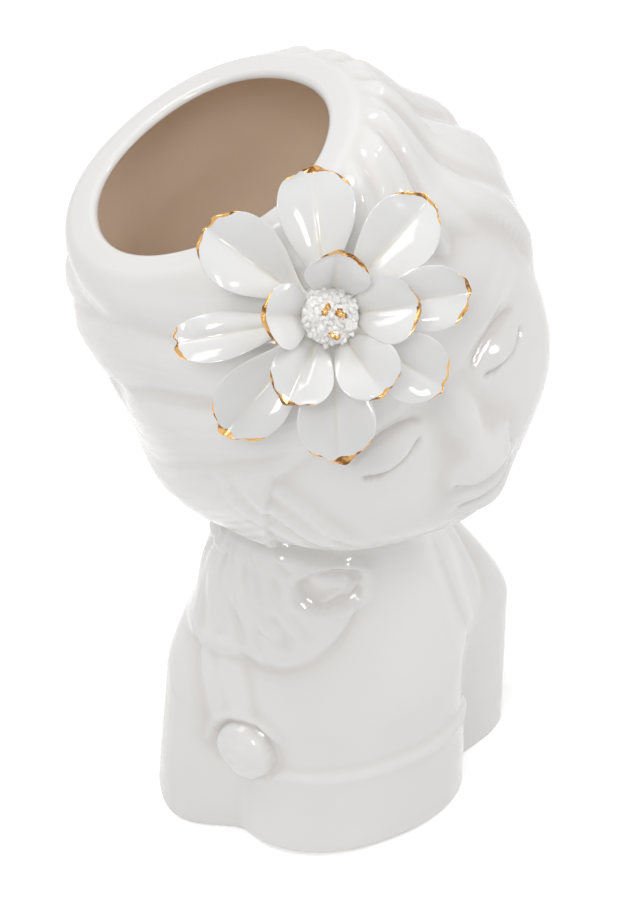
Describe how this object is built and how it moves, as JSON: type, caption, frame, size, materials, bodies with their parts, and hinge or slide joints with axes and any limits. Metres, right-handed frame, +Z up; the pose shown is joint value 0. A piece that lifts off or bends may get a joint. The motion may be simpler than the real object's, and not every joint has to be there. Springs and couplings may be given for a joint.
{
  "type": "head planter",
  "caption": "White glazed ceramic planter shaped as a tilted head on a bust, open at the crown, with a hand-built gilt-edged flower on the brow.",
  "frame": {"origin": "middle of the flat base of the bust, on the surface that it stands on", "axes": "+Z up; the bust looks along -Y; +X is the figure's left"},
  "size_m": [0.1452, 0.1565, 0.2568],
  "materials": {
    "white_glaze": "gloss",
    "petal_glaze": "gloss",
    "gold_lustre": "bright"
  },
  "bodies": {
    "root": {"head_shell": "white_glaze", "bust_shell": "white_glaze", "flower_core": "petal_glaze", "flower_button": "petal_glaze", "stamen_grains": "petal_glaze", "gilt_grains": "gold_lustre", "petal_outer_1": "petal_glaze", "petal_outer_2": "petal_glaze", "petal_outer_3": "petal_glaze", "petal_outer_4": "petal_glaze", "petal_outer_5": "petal_glaze", "petal_outer_6": "petal_glaze", "petal_outer_7": "petal_glaze", "petal_outer_8": "petal_glaze", "petal_inner_1": "petal_glaze", "petal_inner_2": "petal_glaze", "petal_inner_3": "petal_glaze", "petal_inner_4": "petal_glaze", "petal_inner_5": "petal_glaze"}
  },
  "joints": []
}
